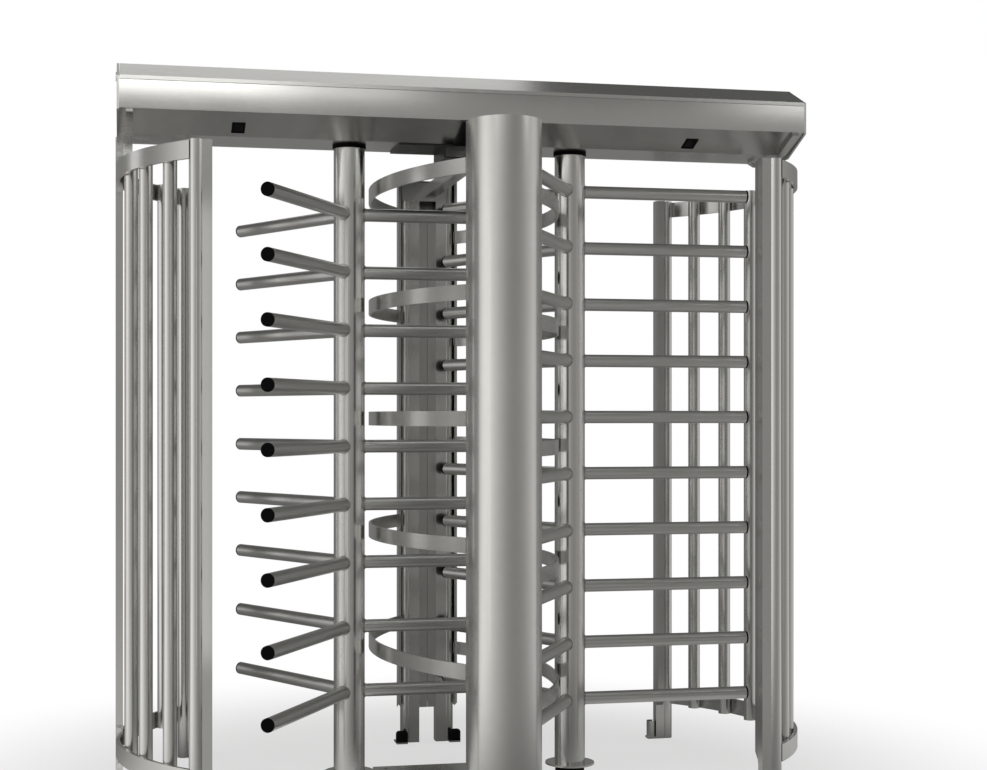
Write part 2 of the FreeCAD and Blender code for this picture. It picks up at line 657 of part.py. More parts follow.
for name, s in (("left", -1), ("right", 1)):
    ax = "-axis_x" if s < 0 else "axis_x"
    start = 180.0 - 50.0 if s < 0 else -50.0
    blocks = []
    for f in (-1, 1):
        y = "stile_near-10" if f > 0 else "-stile_near+10-240"
        blocks.append(box("cleg_x-cleg_lane+100", 240.0, 4000.0,
                          "cleg_lane-100" if s > 0 else "-cleg_x", y, -500.0))
        blocks.append(box("cleg_x-cleg_lane+121.2", 200.0, 4000.0,
                          "cleg_lane-100" if s > 0 else "-cleg_x-bar_rad",
                          "cleg_y" if f > 0 else "-cleg_y-200", -500.0))
        blocks.append(cyl("bar_rad", 4000.0, "cleg_x" if s > 0 else "-cleg_x",
                          "cleg_y" if f > 0 else "-cleg_y", -500.0))
    blocks.append(box("column_out-column_in+20", "2*column_half", 4000.0,
                      "column_in-10" if s > 0 else "-column_out-10", "-column_half", -500.0))
    tool = fuse(*blocks)
    arcs = []
    for z in ("band_top_z", "band_low_z"):
        sector = cyl("band_rad", "band_tall", ax, 0.0, z, Rotation(Vector(0, 0, 1), start), 100.0)
        arcs.append(cut(cut(sector, cyl("band_rad-band_thick", 4000.0, ax, 0.0, -500.0)), tool))
    node("cage_%s_bands" % name, group(arcs))
    bars = []
    for k in (-3, -2, -1, 1, 2, 3):
        a = (180.0 if s < 0 else 0.0) + 11.5 * k
        x = "%s%s+bar_ring*cos(%g deg)" % ("-" if s < 0 else "", "axis_x", a)
        y = "bar_ring*sin(%g deg)" % a
        bars.append(cut(cyl("bar_rad", "bar_top-bar_low", x, y, "bar_low"),
                        cyl("bar_rad-bar_wall", "bar_top-bar_low+20", x, y, "bar_low-10")))
    node("cage_%s_bars" % name, group(bars))
    col = box("column_out-column_in", "2*column_half", "soffit", "column_in" if s > 0 else "-column_out",
              "-column_half", 0.0)
    hollow = box("column_out-column_in-6", "2*column_half-6", "soffit+20",
                 "column_in+3" if s > 0 else "-column_out+3", "-column_half+3", -10.0)
    holes = []
    for zc in (1978.0, 152.0):
        for dz in (-56.0, 56.0):
            holes.append(cyl(6.0, 80.0, "column_in+11.5" if s > 0 else "-column_in-11.5", -40.0, zc + dz, RY))
    node("side_column_" + name, cut(col, fuse(hollow, *holes)))

# lugs that clamp the band ends to the columns, and their bolts
lugs, bolts = [], []
for s in (-1, 1):
    for f in (-1, 1):
        for zc in (1978.0, 152.0):
            x = "column_in" if s > 0 else "-column_out"
            y = "column_half" if f > 0 else "-column_half-6"
            plate_ = box("column_out-column_in", 6.0, 136.0, x, y, zc - 68.0)
            slot_ = box(60.0, 20.0, "band_tall", "column_in-20" if s > 0 else "-column_out-20",
                        "column_half-5" if f > 0 else "-column_half-15", zc - 27.0)
            holes = [cyl(6.0, 60.0, "column_in+11.5" if s > 0 else "-column_in-11.5",
                         "column_half-20" if f > 0 else "-column_half-30", zc + dz, RY) for dz in (-56.0, 56.0)]
            lugs.append(cut(plate_, fuse(slot_, *holes)))
    for zc in (1978.0, 152.0):
        for dz in (-56.0, 56.0):
            xb = "column_in+11.5" if s > 0 else "-column_in-11.5"
            shank = cyl(6.0, "2*column_half+12", xb, "-column_half-6", zc + dz, RY)
            heads = []
            for y0 in ("-column_half-13", "column_half+6"):
                h = doc.addObject("Part::Prism", fresh("hex"))
                h.Polygon = 6
                h.Circumradius = 9.5
                h.Height = 7.0
                at(h, xb, y0, zc + dz, RY)
                heads.append(h)
            bolts.append(fuse(shank, *heads))
node("band_lugs", group(lugs))
node("band_bolts", group(bolts))

# brackets between the columns and the underside of the header
brk = []
for s in (-1, 1):
    top = box(80.0, 60.0, 8.0, "column_in-80" if s > 0 else "-column_in", -30.0, "soffit-8")
    web = box(30.0, 40.0, 52.0, "column_in-30" if s > 0 else "-column_in", -20.0, "soffit-60")
    brk.append(fuse(top, web))
    for f in (-1, 1):
        # rib under the lower slope at each end
        r = Rotation(Vector(1, 0, 0), f * rise)
        rib = doc.addObject("Part::Box", fresh("box"))
        rib.Length, rib.Width, rib.Height = 21.0, run - 3.0, 12.0
        corner = Vector(1073.0 if s > 0 else -1094.0, f * D["soffit_half"], D["soffit"])
        y0 = 1.0 if f > 0 else -(run - 2.0)
        rib.Placement = Placement(corner + r.multVec(Vector(0.0, y0, -12.0)), r)
        brk.append(rib)
node("header_brackets", group(brk))

# ---------------------------------------------------------------- feet
lugs, covers = [], []
for s in (-1, 1):
    for f in (-1, 1):
        # anchor ear on the lane side of each cage leg
        x0 = "cleg_lane-31" if s > 0 else "-cleg_lane"
        y0 = "cleg_near" if f > 0 else "-cleg_far"
        yc = "(cleg_near+cleg_far)/2" if f > 0 else "-(cleg_near+cleg_far)/2"
        xc = "cleg_lane-15" if s > 0 else "-cleg_lane+15"
        ear = box(31.0, 34.0, 8.0, x0, y0, 0.0)
        # half-round collar that shrouds the anchor, its top slanted
        collar = cut(cyl(16.0, 62.0, xc, yc, 4.0), cyl(13.0, 80.0, xc, yc, 8.0))
        keep_off = box(60.0, 60.0, 100.0, "cleg_lane" if s > 0 else "-cleg_lane-60",
                       "cleg_near-13" if f > 0 else "-cleg_far-13", -5.0)
        slope = box(120.0, 60.0, 60.0, -60.0, -30.0, 0.0)
        slope.Placement = Placement(Vector(s * (D["cleg_lane"] - 15.0), f * 508.0, 52.0),
                                    Rotation(Vector(0, 1, 0), s * 38.0))
        hole = cyl(7.0, 40.0, xc, yc, -10.0)
        lugs.append(cut(fuse(ear, cut(collar, fuse(keep_off, slope))), hole))
        # ear and rounded black cover at the outer corner of each pillar leg
        xp = "leg_gap+leg_wide" if s > 0 else "-leg_gap-leg_wide-20"
        yp = "leg_face" if f > 0 else "-leg_face-leg_deep"
        xq = 78.0 if s > 0 else "-leg_gap-leg_wide-20"
        yq = "leg_face-26" if f > 0 else "-leg_face"
        lugs.append(fuse(box(20.0, "leg_deep", 6.0, xp, yp, 0.0),
                         box("leg_gap+leg_wide+20-78", 26.0, 6.0, xq, yq, 0.0)))
        cover = fillet(box(45.0, 27.0, 42.0, 76.0 if s > 0 else -121.0,
                           "leg_face-28" if f > 0 else "-leg_face+1", 6.0), 12.5,
                       lambda e: e.BoundBox.ZMin > 7.0 or e.BoundBox.ZLength > 30.0)
        covers.append(cover)
for s in (-1, 1):
    ear = box(44.0, "2*column_half", 8.0, "column_in-44" if s > 0 else "-column_in", "-column_half", 0.0)
    lugs.append(cut(ear, cyl(7.0, 40.0, "column_in-26" if s > 0 else "-column_in+26", 0.0, -10.0)))
node("foot_lugs", group(lugs))
node("foot_covers", group(covers))

tie = box("2*plate_half", "2*plate_deep", "plate_thick", "-plate_half", "-plate_deep", 0.0)
holes = [cyl(7.0, 40.0, sx, sy, -10.0) for sx in (-230.0, 230.0) for sy in (-140.0, 140.0)]
node("base_tie_plate", cut(tie, fuse(*holes)))

# ---------------------------------------------------------------- write
doc.recompute()
bad = [o.Label for o in doc.Objects if "Invalid" in o.State or "Error" in o.State]
if bad:
    raise RuntimeError("failed objects: %s" % bad)
labels = [n for n, o in nodes]
if len(set(labels)) != len(labels) or len(labels) > 60:
    raise RuntimeError("labels")
for label, obj in nodes:
    shp = obj.Shape
    if shp.isNull() or not shp.isValid() or not shp.Solids:
        raise RuntimeError("bad shape: " + label)
total = 0
for label, obj in nodes:
    shp = obj.Shape
    total += len(shp.Solids)
    shp.exportStep("parts/%s.step" % label)
print("nodes", len(nodes), "solids", total)
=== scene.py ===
import bpy, bmesh, math, random
from mathutils import Vector, Matrix, Quaternion


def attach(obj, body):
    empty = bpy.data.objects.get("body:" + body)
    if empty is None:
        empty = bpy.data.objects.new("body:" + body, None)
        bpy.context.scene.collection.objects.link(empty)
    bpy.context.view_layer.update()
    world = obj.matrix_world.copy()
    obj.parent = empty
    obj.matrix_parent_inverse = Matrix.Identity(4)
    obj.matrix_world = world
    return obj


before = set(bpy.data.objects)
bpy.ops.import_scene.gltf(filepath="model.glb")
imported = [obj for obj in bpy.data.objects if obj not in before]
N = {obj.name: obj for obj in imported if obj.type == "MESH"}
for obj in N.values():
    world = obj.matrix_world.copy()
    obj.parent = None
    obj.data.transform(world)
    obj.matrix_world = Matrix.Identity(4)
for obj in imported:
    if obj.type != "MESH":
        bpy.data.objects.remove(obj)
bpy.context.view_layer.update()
scene = bpy.context.scene
scene.view_settings.view_transform = "Standard"
scene.view_settings.look = "None"

# ------------------------------------------------------------------ camera
cam_data = bpy.data.cameras.new("cam")
cam = bpy.data.objects.new("cam", cam_data)
scene.collection.objects.link(cam)
YAW = math.radians(11.309)
cam.location = (-1.0956, -5.2075, 1.201)
cam.rotation_euler = (math.pi / 2, 0.0, -YAW)
cam_data.sensor_width = 36.0
cam_data.lens = 1598.27 * 36.0 / 987.0
cam_data.shift_x = (493.5 - 445.0) / 987.0
cam_data.shift_y = (417.0 - 385.0) / 987.0
cam_data.clip_end = 60.0
scene.camera = cam

# ------------------------------------------------------------------ world
# A soft studio: strips of light and dark around the object, pale to the eye.
STOPS = [(-180, 0.584), (-170, 0.716), (-160, 0.726), (-150, 0.641), (-140, 0.549), (-130, 0.46), (-120, 0.381),
         (-110, 0.317), (-100, 0.261), (-90, 0.22), (-80, 0.202), (-65, 0.2), (-50, 0.231), (-40, 0.27),
         (-30, 0.321), (-20, 0.376), (-10, 0.436), (0, 0.46), (10, 0.417), (20, 0.279), (30, 0.187),
         (50, 0.141), (110, 0.14), (140, 0.146), (150, 0.164), (160, 0.247), (170, 0.401), (180, 0.584)]
world = bpy.data.worlds.new("studio")
scene.world = world
world.use_nodes = True
nt = world.node_tree
nt.nodes.clear()
w_out = nt.nodes.new("ShaderNodeOutputWorld")
bg_seen = nt.nodes.new("ShaderNodeBackground")
bg_seen.inputs["Color"].default_value = (1, 1, 1, 1)
bg_seen.inputs["Strength"].default_value = 1.0
bg_env = nt.nodes.new("ShaderNodeBackground")
mix = nt.nodes.new("ShaderNodeMixShader")
lp = nt.nodes.new("ShaderNodeLightPath")
tc = nt.nodes.new("ShaderNodeTexCoord")
sep = nt.nodes.new("ShaderNodeSeparateXYZ")
at2 = nt.nodes.new("ShaderNodeMath"); at2.operation = "ARCTAN2"
mr = nt.nodes.new("ShaderNodeMapRange")
mr.inputs["From Min"].default_value = -math.pi
mr.inputs["From Max"].default_value = math.pi
ramp = nt.nodes.new("ShaderNodeValToRGB")
ramp.color_ramp.interpolation = "EASE"
GAIN = 1.75
els = ramp.color_ramp.elements
els[0].position = 0.0
els[1].position = 1.0
for i, (a, v) in enumerate(STOPS):
    p = (a + 180.0) / 360.0
    if i == 0:
        e = els[0]
    elif i == len(STOPS) - 1:
        e = els[-1]
    else:
        e = els.new(p)
    e.color = (v, v * 0.992, v * 0.965, 1.0)
zr = nt.nodes.new("ShaderNodeMapRange")
zr.inputs["From Min"].default_value = -1.0
zr.inputs["From Max"].default_value = 1.0
zramp = nt.nodes.new("ShaderNodeValToRGB")
ze = zramp.color_ramp.elements
ze[0].position = 0.0; ze[0].color = (0.35, 0.35, 0.35, 1)
ze[1].position = 1.0; ze[1].color = (0.55, 0.55, 0.55, 1)
for p, v in ((0.30, 0.42), (0.44, 0.85), (0.5, 1.0), (0.58, 1.0), (0.66, 0.62), (0.80, 0.42)):
    e = ze.new(p); e.color = (v, v, v, 1)
mul = nt.nodes.new("ShaderNodeMix"); mul.data_type = "RGBA"; mul.blend_type = "MULTIPLY"
mul.inputs["Factor"].default_value = 1.0
nt.links.new(tc.outputs["Generated"], sep.inputs[0])
nt.links.new(sep.outputs["Y"], at2.inputs[0])
nt.links.new(sep.outputs["X"], at2.inputs[1])
nt.links.new(at2.outputs[0], mr.inputs["Value"])
nt.links.new(mr.outputs[0], ramp.inputs["Fac"])
nt.links.new(sep.outputs["Z"], zr.inputs["Value"])
nt.links.new(zr.outputs[0], zramp.inputs["Fac"])
nt.links.new(ramp.outputs["Color"], mul.inputs[6])
nt.links.new(zramp.outputs["Color"], mul.inputs[7])
nt.links.new(mul.outputs[2], bg_env.inputs["Color"])
bg_env.inputs["Strength"].default_value = GAIN
nt.links.new(lp.outputs["Is Camera Ray"], mix.inputs["Fac"])
nt.links.new(bg_env.outputs[0], mix.inputs[1])
nt.links.new(bg_seen.outputs[0], mix.inputs[2])
nt.links.new(mix.outputs[0], w_out.inputs["Surface"])


# ------------------------------------------------------------------ lights
def area(name, loc, target, size, size_y, power, color=(1, 1, 1)):
    l = bpy.data.lights.new(name, "AREA")
    l.shape = "RECTANGLE"
    l.size = size
    l.size_y = size_y
    l.energy = power
    l.color = color
    o = bpy.data.objects.new(name, l)
    o.location = loc
    o.rotation_euler = (Vector(target) - Vector(loc)).to_track_quat("-Z", "Y").to_euler()
    scene.collection.objects.link(o)
    return o


# soft boxes over the front, seen in the header face, one behind for the roof,
# and tall strips at the left that the tubes and bands pick up
area("box_header_left", (-1.0, -2.35, 2.90), (-0.95, -0.237, 2.25), 1.15, 0.46, 4.4, (1, 0.995, 0.98))
area("box_header_mid", (-0.15, -2.35, 2.86), (-0.25, -0.237, 2.22), 0.7, 0.40, 0.9, (1, 0.995, 0.98))
area("box_header_right", (2.27, -2.15, 2.92), (1.05, -0.237, 2.2), 1.0, 0.5, 2.1, (1, 0.995, 0.98))
area("box_roof_back", (-0.20, 3.2, 4.6), (-0.35, -0.1, 2.3), 2.8, 1.4, 10.0, (1, 0.995, 0.98))
area("strip_front_left", (-0.845, -1.15, 1.15), (-0.870, -0.525, 1.15), 0.07, 1.5, 0.2, (1, 0.995, 0.985))
area("strip_side_left", (-2.45, 1.05, 1.50), (-1.1, -0.3, 1.45), 0.4, 2.0, 2.0, (1, 0.995, 0.985))
area("top_soft", (0.0, -1.5, 5.2), (0, 0, 0), 3.0, 2.0, 14)


# ------------------------------------------------------------------ materials
def material(name):
    m = bpy.data.materials.new(name)
    m.use_nodes = True
    t = m.node_tree
    b = t.nodes["Principled BSDF"]
    return m, t, b


def nd(t, kind, **kw):
    n = t.nodes.new(kind)
    for k, v in kw.items():
        if k in n.inputs:
            n.inputs[k].default_value = v
        else:
            setattr(n, k, v)
    return n


def steel(name, grain=(1.0, 1.0, 0.02), scale=90.0, base=(0.60, 0.597, 0.585), rough=(0.24, 0.32),
          bump=0.02, aniso=0.0, stain=0.07, crown=0.0):
    """Satin stainless: fine drawn lines along one axis, cloudy roughness, faint handling marks."""
    m, t, b = material(name)
    b.inputs["Metallic"].default_value = 1.0
    b.inputs["Anisotropic"].default_value = aniso
    co = nd(t, "ShaderNodeTexCoord")
    mp = nd(t, "ShaderNodeMapping")
    mp.inputs["Scale"].default_value = (grain[0] * scale, grain[1] * scale, grain[2] * scale)
    n1 = nd(t, "ShaderNodeTexNoise", Scale=6.0, Detail=5.0, Roughness=0.65)
    t.links.new(co.outputs["Object"], mp.inputs["Vector"])
    t.links.new(mp.outputs[0], n1.inputs["Vector"])
    cloud = nd(t, "ShaderNodeTexNoise", Scale=3.2, Detail=4.0, Roughness=0.6)
    t.links.new(co.outputs["Object"], cloud.inputs["Vector"])
    spots = nd(t, "ShaderNodeTexNoise", Scale=34.0, Detail=6.0, Roughness=0.7)
    t.links.new(co.outputs["Object"], spots.inputs["Vector"])
    # roughness: lines and clouds
    add = nd(t, "ShaderNodeMath", operation="MULTIPLY_ADD")
    t.links.new(n1.outputs["Fac"], add.inputs[0])
    add.inputs[1].default_value = 0.55
    sc2 = nd(t, "ShaderNodeMath", operation="MULTIPLY")
    t.links.new(cloud.outputs["Fac"], sc2.inputs[0])
    sc2.inputs[1].default_value = 0.45
    t.links.new(sc2.outputs[0], add.inputs[2])
    mr_ = nd(t, "ShaderNodeMapRange")
    mr_.inputs["From Min"].default_value = 0.25
    mr_.inputs["From Max"].default_value = 0.75
    mr_.inputs["To Min"].default_value = rough[0]
    mr_.inputs["To Max"].default_value = rough[1]
    t.links.new(add.outputs[0], mr_.inputs["Value"])
    t.links.new(mr_.outputs[0], b.inputs["Roughness"])
    # colour: slight warm and dark variation
    cr = nd(t, "ShaderNodeValToRGB")
    e = cr.color_ramp.elements
    e[0].position = 0.25
    e[0].color = (base[0] * (1 - stain), base[1] * (1 - stain), base[2] * (1 - stain * 1.15), 1)
    e[1].position = 0.75
    e[1].color = (min(base[0] * (1 + stain * 0.6), 1), min(base[1] * (1 + stain * 0.6), 1), min(base[2] * (1 + stain * 0.6), 1), 1)
    mixf = nd(t, "ShaderNodeMath", operation="MULTIPLY_ADD")
    t.links.new(spots.outputs["Fac"], mixf.inputs[0])
    mixf.inputs[1].default_value = 0.35
    sc3 = nd(t, "ShaderNodeMath", operation="MULTIPLY")
    t.links.new(cloud.outputs["Fac"], sc3.inputs[0])
    sc3.inputs[1].default_value = 0.65
    t.links.new(sc3.outputs[0], mixf.inputs[2])
    t.links.new(mixf.outputs[0], cr.inputs["Fac"])
    t.links.new(cr.outputs["Color"], b.inputs["Base Color"])
    bp = nd(t, "ShaderNodeBump", Strength=bump, Distance=0.0004)
    t.links.new(n1.outputs["Fac"], bp.inputs["Height"])
    if crown:
        # rolled sheet: the face is very slightly crowned between its two folds
        sp = nd(t, "ShaderNodeSeparateXYZ")
        t.links.new(co.outputs["Object"], sp.inputs[0])
        cz = nd(t, "ShaderNodeMapRange")
        cz.inputs["From Min"].default_value = 2.145
        cz.inputs["From Max"].default_value = 2.240
        cz.inputs["To Min"].default_value = -crown
        cz.inputs["To Max"].default_value = crown
        t.links.new(sp.outputs["Z"], cz.inputs["Value"])
        cv = nd(t, "ShaderNodeCombineXYZ")
        t.links.new(cz.outputs[0], cv.inputs["Z"])
        va = nd(t, "ShaderNodeVectorMath", operation="ADD")
        t.links.new(bp.outputs[0], va.inputs[0])
        t.links.new(cv.outputs[0], va.inputs[1])
        vn = nd(t, "ShaderNodeVectorMath", operation="NORMALIZE")
        t.links.new(va.outputs[0], vn.inputs[0])
        t.links.new(vn.outputs[0], b.inputs["Normal"])
    else:
        t.links.new(bp.outputs[0], b.inputs["Normal"])
    return m


def plastic(name, base=(0.0022, 0.0022, 0.0024), rough=(0.5, 0.66), bump=0.12, scale=260.0, coat=0.0, spec=0.05):
    m, t, b = material(name)
    b.inputs["Specular IOR Level"].default_value = spec
    b.inputs["Coat Weight"].default_value = coat
    co = nd(t, "ShaderNodeTexCoord")
    n1 = nd(t, "ShaderNodeTexNoise", Scale=scale, Detail=4.0, Roughness=0.6)
    n2 = nd(t, "ShaderNodeTexNoise", Scale=14.0, Detail=5.0, Roughness=0.6)
    t.links.new(co.outputs["Object"], n1.inputs["Vector"])
    t.links.new(co.outputs["Object"], n2.inputs["Vector"])
    cr = nd(t, "ShaderNodeValToRGB")
    e = cr.color_ramp.elements
    e[0].position = 0.3; e[0].color = (base[0] * 0.75, base[1] * 0.75, base[2] * 0.75, 1)
    e[1].position = 0.75; e[1].color = (base[0] * 1.5, base[1] * 1.5, base[2] * 1.5, 1)
    t.links.new(n2.outputs["Fac"], cr.inputs["Fac"])
    t.links.new(cr.outputs["Color"], b.inputs["Base Color"])
    mr_ = nd(t, "ShaderNodeMapRange")
    mr_.inputs["To Min"].default_value = rough[0]
    mr_.inputs["To Max"].default_value = rough[1]
    t.links.new(n2.outputs["Fac"], mr_.inputs["Value"])
    t.links.new(mr_.outputs[0], b.inputs["Roughness"])
    bp = nd(t, "ShaderNodeBump", Strength=bump, Distance=0.0004)
    t.links.new(n1.outputs["Fac"], bp.inputs["Height"])
    t.links.new(bp.outputs[0], b.inputs["Normal"])
    return m


M = {
    "tube_z": steel("steel_tube_upright", grain=(1, 1, 0.012), rough=(0.19, 0.24), bump=0.006, stain=0.05),
    "pole": steel("steel_pole", grain=(1, 1, 0.012), rough=(0.14, 0.20)),
    "tube_flat": steel("steel_tube_arm", grain=(0.25, 0.25, 1.0), scale=26.0, rough=(0.29, 0.33), bump=0.004, stain=0.03),
    "sheet_x": steel("steel_sheet_long", grain=(0.012, 1, 1), rough=(0.22, 0.30)),
    "fascia": steel("steel_sheet_header", grain=(0.012, 1, 1), rough=(0.20, 0.27), crown=0.055),
    "column": steel("steel_column", grain=(1, 1, 0.012), rough=(0.12, 0.18)),
    "pillar": steel("steel_pillar", grain=(1, 1, 0.012), rough=(0.20, 0.26)),
    "sheet_z": steel("steel_sheet_upright", grain=(1, 1, 0.012), rough=(0.26, 0.34), base=(0.52, 0.517, 0.505)),
    "band": steel("steel_band", grain=(0.25, 0.25, 1.0), scale=36.0, rough=(0.18, 0.25), bump=0.01),
    "bright": steel("steel_polished", rough=(0.12, 0.2), bump=0.02, base=(0.68, 0.68, 0.67)),
    "zinc": steel("steel_zinc", grain=(1, 1, 1), scale=14.0, base=(0.52, 0.53, 0.54), rough=(0.35, 0.5), stain=0.22),
    "weld": steel("steel_weld", grain=(1, 1, 1), scale=30.0, base=(0.47, 0.45, 0.42), rough=(0.3, 0.5), bump=0.5, stain=0.25),
    "black": plastic("plastic_black"),
    "rubber": plastic("plastic_black_foot", base=(0.008, 0.008, 0.008), rough=(0.3, 0.45)),
    # Black coating for the header saddle: a dark cover plate whose black also stands in for painted shade under the
    # header around the pillar top.
    "black_cover_and_shade": plastic("black_coating_and_shade", base=(0.010, 0.010, 0.0105), rough=(0.25, 0.4), spec=0.4),
    "lens": plastic("lens_dark", base=(0.0025, 0.0025, 0.003), rough=(0.10, 0.18), bump=0.01, coat=0.12),
    "paint": plastic("paint_grey", base=(0.16, 0.165, 0.17), rough=(0.4, 0.55), bump=0.2, scale=420.0, spec=0.5),
}

SLOT = {}
for name in N:
    if name.endswith("arm_caps") or name in ("base_hubs", "shaft_seals", "lane_indicator_bezels"):
        SLOT[name] = "black"
    elif name == "foot_covers":
        SLOT[name] = "rubber"
    # the header saddle's black is a cover plate finish and also painted shade under the header beside the pillar
    elif name == "header_saddle":
        SLOT[name] = "black_cover_and_shade"
    elif name == "lane_indicator_lenses":
        SLOT[name] = "lens"
    elif name == "control_units":
        SLOT[name] = "paint"
    elif name.endswith("_arms"):
        SLOT[name] = "tube_flat"
    elif name.startswith("barrier") or name.endswith("_bands"):
        SLOT[name] = "band"
    elif name == "header_tray":
        SLOT[name] = "fascia"
    elif name.startswith("side_column") or name == "band_lugs":
        SLOT[name] = "column"
    elif name.startswith("pillar_shell"):
        SLOT[name] = "pillar"
    elif name.endswith("_pole"):
        SLOT[name] = "pole"
    elif name in ("roof_lid", "tie_beam", "header_brackets", "base_tie_plate"):
        SLOT[name] = "sheet_x"
    elif name.startswith("header_end") or name.startswith("pillar_shell") or name in ("pillar_inner_panels", "cage_end_stiles"):
        SLOT[name] = "sheet_z"
    elif name in ("header_rails", "mechanism_plates", "solenoids", "hydraulic_dampers") or name.startswith("lock_pawl") or name.endswith("lock_disc"):
        SLOT[name] = "zinc"
    elif name in ("top_bearings", "base_bearings", "lid_hinge_pins", "band_bolts") or name.startswith("lid_lock") or name.endswith("top_shaft"):
        SLOT[name] = "bright"
    else:
        SLOT[name] = "tube_z"
for name, o in N.items():
    o.data.materials.clear()
    o.data.materials.append(M[SLOT[name]])

# ------------------------------------------------------------------ extra pieces


def finish_piece(o, mat, body, smooth=True):
    o.data.materials.append(M[mat])
    if smooth:
        for p in o.data.polygons:
            p.use_smooth = True
    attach(o, body)
    return o


def mesh_object(name, bm):
    me = bpy.data.meshes.new(name)
    bm.to_mesh(me)
    bm.free()
    o = bpy.data.objects.new(name, me)
    scene.collection.objects.link(o)
    return o


def tube_path(bm, pts, r, closed=False, sides=8, lumpy=0.0, seed=1):
    """A round bead swept along a list of points."""
    rnd = random.Random(seed)
    rings = []
    n = len(pts)
    for i, p in enumerate(pts):
        a = pts[(i - 1) % n] if (closed or i > 0) else pts[i]
        b = pts[(i + 1) % n] if (closed or i < n - 1) else pts[i]
        d = (Vector(b) - Vector(a)).normalized()
        up = Vector((0, 0, 1)) if abs(d.z) < 0.9 else Vector((1, 0, 0))
        u = d.cross(up).normalized()
        v = d.cross(u).normalized()
        rr = r * (1.0 + lumpy * (rnd.random() - 0.5))
        ring = [bm.verts.new(Vector(p) + (u * math.cos(2 * math.pi * k / sides) + v * math.sin(2 * math.pi * k / sides)) * rr) for k in range(sides)]
        rings.append(ring)
    m = n if closed else n - 1
    for i in range(m):
        A, B = rings[i], rings[(i + 1) % n]
        for k in range(sides):
            bm.faces.new((A[k], A[(k + 1) % sides], B[(k + 1) % sides], B[k]))
    if not closed:
        bm.faces.new(rings[0])
        bm.faces.new(list(reversed(rings[-1])))
    return rings


# weld beads where each arm meets its pole
POLE_R, ARM_R = 0.051, 0.0212
LEVELS = {"right": [1.961 - 0.190 * i for i in range(10)],
          "left": [1.865 - 0.190 * i for i in range(7)] + [0.725 - 0.211, 0.725 - 0.422]}
for side, cx in (("left", -0.375), ("right", 0.375)):
    bm = bmesh.new()
    seed = 3
    for a in (0, 120, 240):
        ca, sa = math.cos(math.radians(a)), math.sin(math.radians(a))
        for z in LEVELS[side]:
            pts = []
            for k in range(32):
                th = 2 * math.pi * k / 32
                y, zz = (ARM_R + 0.0006) * math.cos(th), (ARM_R + 0.0006) * math.sin(th)
                x = math.sqrt(max((POLE_R + 0.0006) ** 2 - y * y, 0))
                pts.append((cx + x * ca - y * sa, x * sa + y * ca, z + zz))
            seed += 1
            tube_path(bm, pts, 0.0022, closed=True, sides=6, lumpy=0.5, seed=seed)
    bmesh.ops.recalc_face_normals(bm, faces=bm.faces)
    o = mesh_object("arm_welds_" + side, bm)
    finish_piece(o, "weld", "rotor_" + side)

# weld seams: cage bars on their bands, band ends on the legs, barrier ends on the pillars
BAND_Z = ((1.951, 2.005), (0.125, 0.179))
for side, s in (("left", -1), ("right", 1)):
    bm = bmesh.new()
    ax = s * 0.375
    for k in (-3, -2, -1, 1, 2, 3):
        a = (math.pi if s < 0 else 0.0) + math.radians(11.5 * k)
        for z0, z1 in BAND_Z:
            for q in (-1, 1):
                r, off = 0.7376, q * 0.0068 / 0.7376
                pts = [(ax + r * math.cos(a + off), r * math.sin(a + off), z0 + 0.003 + (z1 - z0 - 0.006) * j / 8) for j in range(9)]
                tube_path(bm, pts, 0.0019, sides=6, lumpy=0.5, seed=k + 17)
    for f in (-1, 1):
        for z0, z1 in BAND_Z:
            pts = [(s * 0.9158, f * 0.5085, z0 + 0.003 + (z1 - z0 - 0.006) * j / 8) for j in range(9)]
            tube_path(bm, pts, 0.0022, sides=6, lumpy=0.5, seed=31 + f)
    # barrier bands on the return flanges of the pillars
    z_top, step = (1.945, 0.3745) if s < 0 else (1.866, 0.380)
    for i in range(5):
        zc = z_top - step * i
        for f in (-1, 1):
            for dx in (-0.0065, 0.0065):
                pts = [(s * 0.1044 + dx, f * 0.5930, zc - 0.020 + 0.040 * j / 8) for j in range(9)]
                tube_path(bm, pts, 0.0019, sides=6, lumpy=0.5, seed=40 + i)
    bmesh.ops.recalc_face_normals(bm, faces=bm.faces)
    o = mesh_object("frame_welds_" + side, bm)
    finish_piece(o, "weld", "frame")

# crisp folded edges on the sheet parts
for name in ("header_tray", "roof_lid", "header_end_plate_left", "header_end_plate_right", "base_tie_plate",
             "cage_end_stiles", "side_column_left", "side_column_right", "tie_beam"):
    bv = N[name].modifiers.new("edge_round", "BEVEL")
    bv.width = 0.0009
    bv.segments = 2
    bv.limit_method = "ANGLE"
    bv.angle_limit = math.radians(20)
    bv.harden_normals = False

# ------------------------------------------------------------------ floor
bm = bmesh.new()
R = 22.0
bmesh.ops.create_grid(bm, x_segments=2, y_segments=2, size=R)
floor = mesh_object("floor", bm)
floor.location = (0, 0, -0.0005)
mf, t, b = material("floor_pale")
out = t.nodes["Material Output"]
b.inputs["Base Color"].default_value = (0.86, 0.86, 0.86, 1)
b.inputs["Roughness"].default_value = 0.55
b.inputs["Specular IOR Level"].default_value = 0.2
# Seen from the camera the floor glows white; toward the object the glow fades into the lit floor, so real shadows
# show there and the fade itself darkens the floor around the base, painted shade.
em = nd(t, "ShaderNodeEmission")
em.inputs["Color"].default_value = (1, 1, 1, 1)
em.inputs["Strength"].default_value = 1.0
co = nd(t, "ShaderNodeTexCoord")
ln = nd(t, "ShaderNodeVectorMath", operation="LENGTH")
t.links.new(co.outputs["Object"], ln.inputs[0])
camera_fade_base_shade = nd(t, "ShaderNodeMapRange")
camera_fade_base_shade.interpolation_type = "SMOOTHSTEP"
camera_fade_base_shade.inputs["From Min"].default_value = 0.9
camera_fade_base_shade.inputs["From Max"].default_value = 2.25
camera_fade_base_shade.inputs["To Min"].default_value = 0.62
camera_fade_base_shade.inputs["To Max"].default_value = 1.0
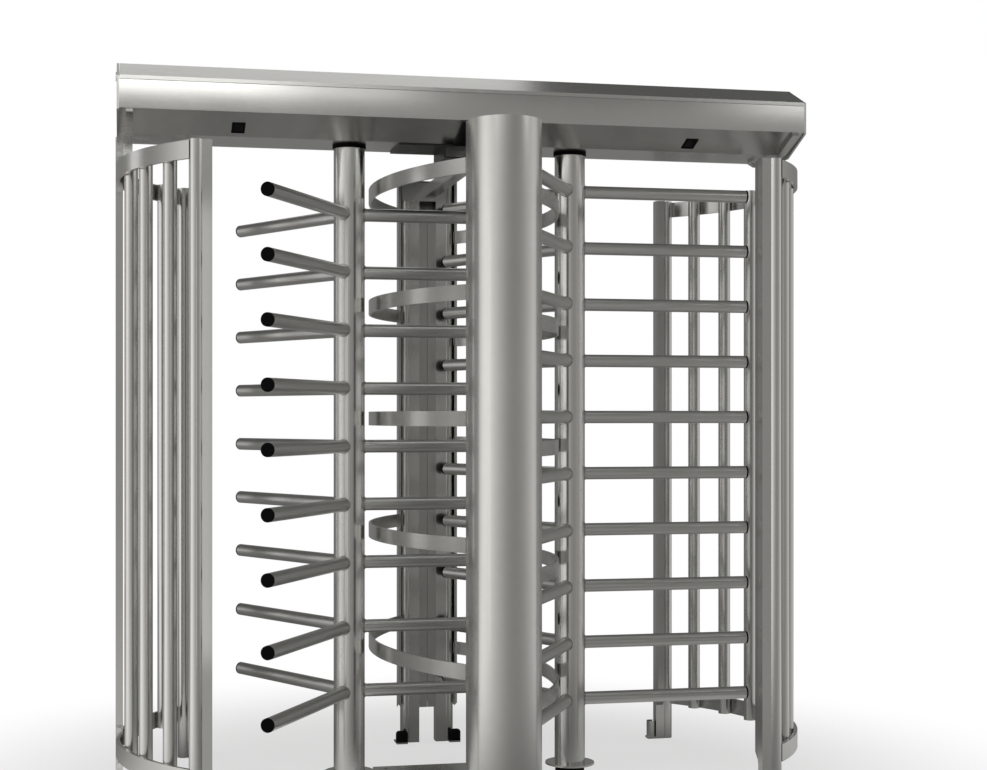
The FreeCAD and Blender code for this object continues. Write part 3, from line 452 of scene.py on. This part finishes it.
t.links.new(ln.outputs["Value"], camera_fade_base_shade.inputs["Value"])
mx = nd(t, "ShaderNodeMixShader")
t.links.new(camera_fade_base_shade.outputs[0], mx.inputs[0])
t.links.new(b.outputs[0], mx.inputs[1])
t.links.new(em.outputs[0], mx.inputs[2])
# Seen by every other ray the floor glows though it is no lamp, in the studio's azimuth bands and dimmer near the
# object: a painted glow with painted shade around the base, seen in the metal's reflections.
dark = nd(t, "ShaderNodeEmission")
sepf = nd(t, "ShaderNodeSeparateXYZ")
t.links.new(co.outputs["Object"], sepf.inputs[0])
fa = nd(t, "ShaderNodeMath", operation="ARCTAN2")
t.links.new(sepf.outputs["Y"], fa.inputs[0])
t.links.new(sepf.outputs["X"], fa.inputs[1])
fm = nd(t, "ShaderNodeMapRange")
fm.inputs["From Min"].default_value = -math.pi
fm.inputs["From Max"].default_value = math.pi
t.links.new(fa.outputs[0], fm.inputs["Value"])
framp = nd(t, "ShaderNodeValToRGB")
framp.color_ramp.interpolation = "EASE"
fe = framp.color_ramp.elements
for i, (ang, v) in enumerate(STOPS):
    if i == 0:
        e = fe[0]
        e.position = 0.0
    elif i == len(STOPS) - 1:
        e = fe[-1]
        e.position = 1.0
    else:
        e = fe.new((ang + 180.0) / 360.0)
    e.color = (v, v * 0.992, v * 0.965, 1.0)
t.links.new(fm.outputs[0], framp.inputs["Fac"])
t.links.new(framp.outputs["Color"], dark.inputs["Color"])
glow_shade_near_base = nd(t, "ShaderNodeMapRange")
glow_shade_near_base.interpolation_type = "SMOOTHSTEP"
glow_shade_near_base.inputs["From Min"].default_value = 0.7
glow_shade_near_base.inputs["From Max"].default_value = 3.0
glow_shade_near_base.inputs["To Min"].default_value = 0.95
glow_shade_near_base.inputs["To Max"].default_value = GAIN * 0.95
t.links.new(ln.outputs["Value"], glow_shade_near_base.inputs["Value"])
t.links.new(glow_shade_near_base.outputs[0], dark.inputs["Strength"])
lp2 = nd(t, "ShaderNodeLightPath")
mx2 = nd(t, "ShaderNodeMixShader")
t.links.new(lp2.outputs["Is Camera Ray"], mx2.inputs[0])
t.links.new(dark.outputs[0], mx2.inputs[1])
t.links.new(mx.outputs[0], mx2.inputs[2])
t.links.new(mx2.outputs[0], out.inputs["Surface"])
floor.data.materials.append(mf)
